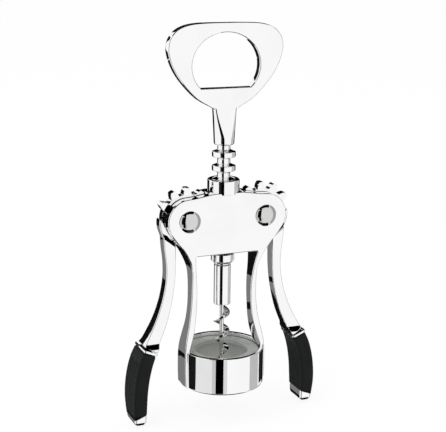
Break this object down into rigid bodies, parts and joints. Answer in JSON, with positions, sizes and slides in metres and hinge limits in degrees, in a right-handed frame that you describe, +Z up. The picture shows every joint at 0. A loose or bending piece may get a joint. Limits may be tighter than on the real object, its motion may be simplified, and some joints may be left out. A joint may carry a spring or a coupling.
{
  "type": "lever corkscrew",
  "caption": "Winged lever corkscrew: bell body on two legs, geared levers with rubber grips, ring rack, auger worm and a flat bottle-opener head.",
  "frame": {"origin": "centre of the bell's mouth, in the plane of its lower rim", "axes": "+Z up the worm's axis to the opener head, +X to the right lever, -Y the front"},
  "size_m": [0.0962, 0.0416, 0.1925],
  "materials": {
    "chrome": "mirror polished chrome plate on die-cast zinc",
    "rivet_chrome": "polished chrome plate, a little darker than the body",
    "steel": "turned bright steel",
    "grip_rubber": "matt moulded rubber with slanted ribs on the outer face",
    "liner_plastic": "satin grey moulded plastic",
    "washer_plastic": "natural nylon"
  },
  "bodies": {
    "frame": {"body_frame": "chrome", "bell_liner": "liner_plastic", "left_pivot_rivet": "rivet_chrome", "right_pivot_rivet": "rivet_chrome", "left_rivet_cap": "rivet_chrome", "right_rivet_cap": "rivet_chrome", "left_front_washer": "washer_plastic", "left_rear_washer": "washer_plastic", "right_front_washer": "washer_plastic", "right_rear_washer": "washer_plastic"},
    "left_arm": {"left_lever": "chrome", "left_grip": "grip_rubber"},
    "right_arm": {"right_lever": "chrome", "right_grip": "grip_rubber"},
    "rack": {"rack_sleeve": "chrome"},
    "handle": {"opener_head": "chrome", "spindle_rod": "steel", "thrust_washer": "steel", "worm_socket": "chrome", "worm": "steel"}
  },
  "joints": [
    {"name": "left_lever_pivot", "type": "hinge", "parent": "frame", "child": "left_arm", "pos_m": [-0.0196, 0, 0.0846], "axis": [0, 1, 0], "range_deg": [0, 120]},
    {"name": "right_lever_pivot", "type": "hinge", "parent": "frame", "child": "right_arm", "pos_m": [0.0196, 0, 0.0846], "axis": [0, -1, 0], "range_deg": [0, 120]},
    {"name": "rack_slide", "type": "slide", "parent": "frame", "child": "rack", "axis": [0, 0, 1], "range_m": [-0.0278, 0]},
    {"name": "handle_spin", "type": "hinge", "parent": "rack", "child": "handle", "pos_m": [0, 0, 0.12], "axis": [0, 0, 1], "continuous": true}
  ],
  "couplings": [
    {"joint": "right_lever_pivot", "follows": "left_lever_pivot", "ratio": 1},
    {"joint": "rack_slide", "follows": "left_lever_pivot", "m_per_rad": -0.013237}
  ]
}
